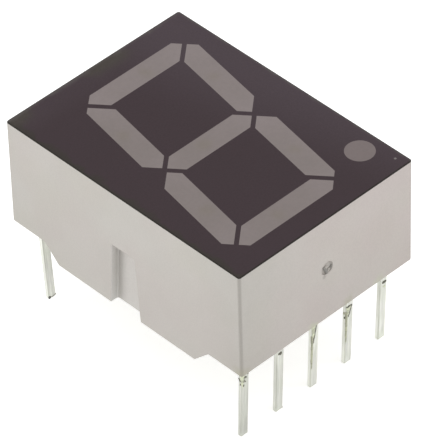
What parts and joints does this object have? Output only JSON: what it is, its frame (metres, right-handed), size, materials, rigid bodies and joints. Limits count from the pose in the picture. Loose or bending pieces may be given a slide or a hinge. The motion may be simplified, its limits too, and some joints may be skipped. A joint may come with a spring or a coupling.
{
  "type": "seven-segment led display",
  "caption": "Seven-segment LED display with a slanted digit and a decimal point: pale moulded reflector housing, dark face, cast light pipes and two rows of tinned leads.",
  "frame": {"origin": "middle of the ten-lead pattern, on the plane where the housing's skirts rest on a board", "axes": "+Z out of the face, +Y towards the top of the digit, +X to the digit's right"},
  "size_m": [0.0124, 0.0172, 0.0125],
  "materials": {
    "housing_plastic": "fine satin moulding, pale warm grey",
    "face_layer": "matt dark brown-grey coating",
    "light_pipe_epoxy": "diffused cast epoxy, satin",
    "potting_compound": "self-levelled cast epoxy",
    "tinned_lead": "tin plate, satin, sheared edges",
    "led_crystal": "diced semiconductor crystal",
    "gold_wire": "drawn gold wire"
  },
  "bodies": {
    "root": {"reflector_housing": "housing_plastic", "face_mask": "face_layer", "back_potting": "potting_compound", "segment_a": "light_pipe_epoxy", "segment_b": "light_pipe_epoxy", "segment_c": "light_pipe_epoxy", "segment_d": "light_pipe_epoxy", "segment_e": "light_pipe_epoxy", "segment_f": "light_pipe_epoxy", "segment_g": "light_pipe_epoxy", "decimal_point": "light_pipe_epoxy", "lead_common": "tinned_lead", "lead_a": "tinned_lead", "lead_b": "tinned_lead", "lead_c": "tinned_lead", "lead_d": "tinned_lead", "lead_e": "tinned_lead", "lead_f": "tinned_lead", "lead_g": "tinned_lead", "lead_point": "tinned_lead", "chip_a": "led_crystal", "chip_b": "led_crystal", "chip_c": "led_crystal", "chip_d": "led_crystal", "chip_e": "led_crystal", "chip_f": "led_crystal", "chip_g": "led_crystal", "chip_point": "led_crystal", "bond_wire_a": "gold_wire", "bond_wire_b": "gold_wire", "bond_wire_c": "gold_wire", "bond_wire_d": "gold_wire", "bond_wire_e": "gold_wire", "bond_wire_f": "gold_wire", "bond_wire_g": "gold_wire", "bond_wire_point": "gold_wire"}
  },
  "joints": []
}
